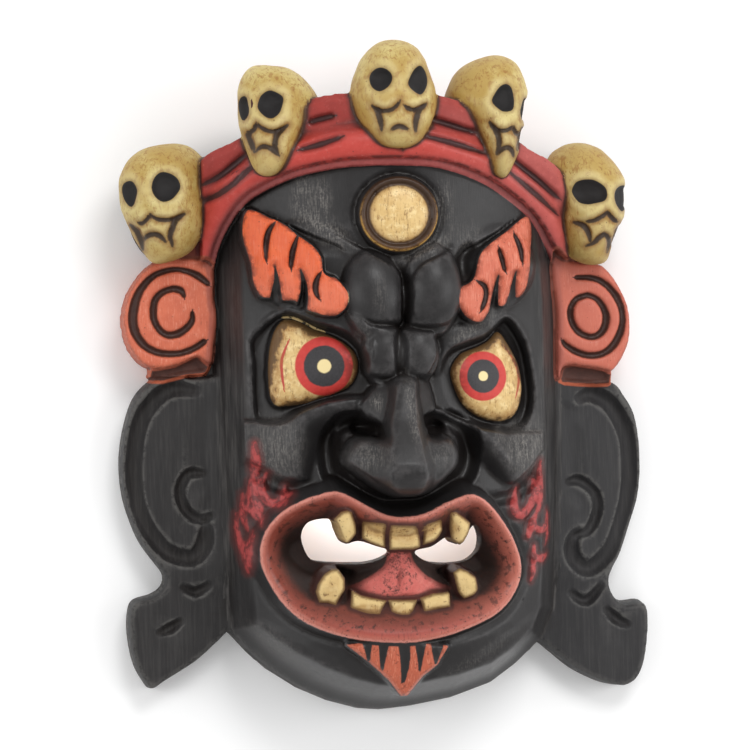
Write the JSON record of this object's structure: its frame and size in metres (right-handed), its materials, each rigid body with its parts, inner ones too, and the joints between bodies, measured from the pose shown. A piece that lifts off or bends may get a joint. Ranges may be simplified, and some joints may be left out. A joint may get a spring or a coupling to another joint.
{
  "type": "bhairab mask",
  "caption": "Carved wooden mask of a wrathful fanged guardian face under a band with a crown of small skulls, hollow at the back, lying face up.",
  "frame": {"origin": "middle of the flat back rim's bounding box, on the plane that the mask lies on", "axes": "+X to the viewer's right, +Y from the chin to the skulls on the crown, +Z out of the face; the mask lies face up"},
  "size_m": [0.2364, 0.2944, 0.1049],
  "materials": {
    "painted_wood": "satin paint in black, red, orange and gold over carved wood, rubbed at the edges"
  },
  "bodies": {
    "root": {"bhairab_mask": "painted_wood"}
  },
  "joints": []
}
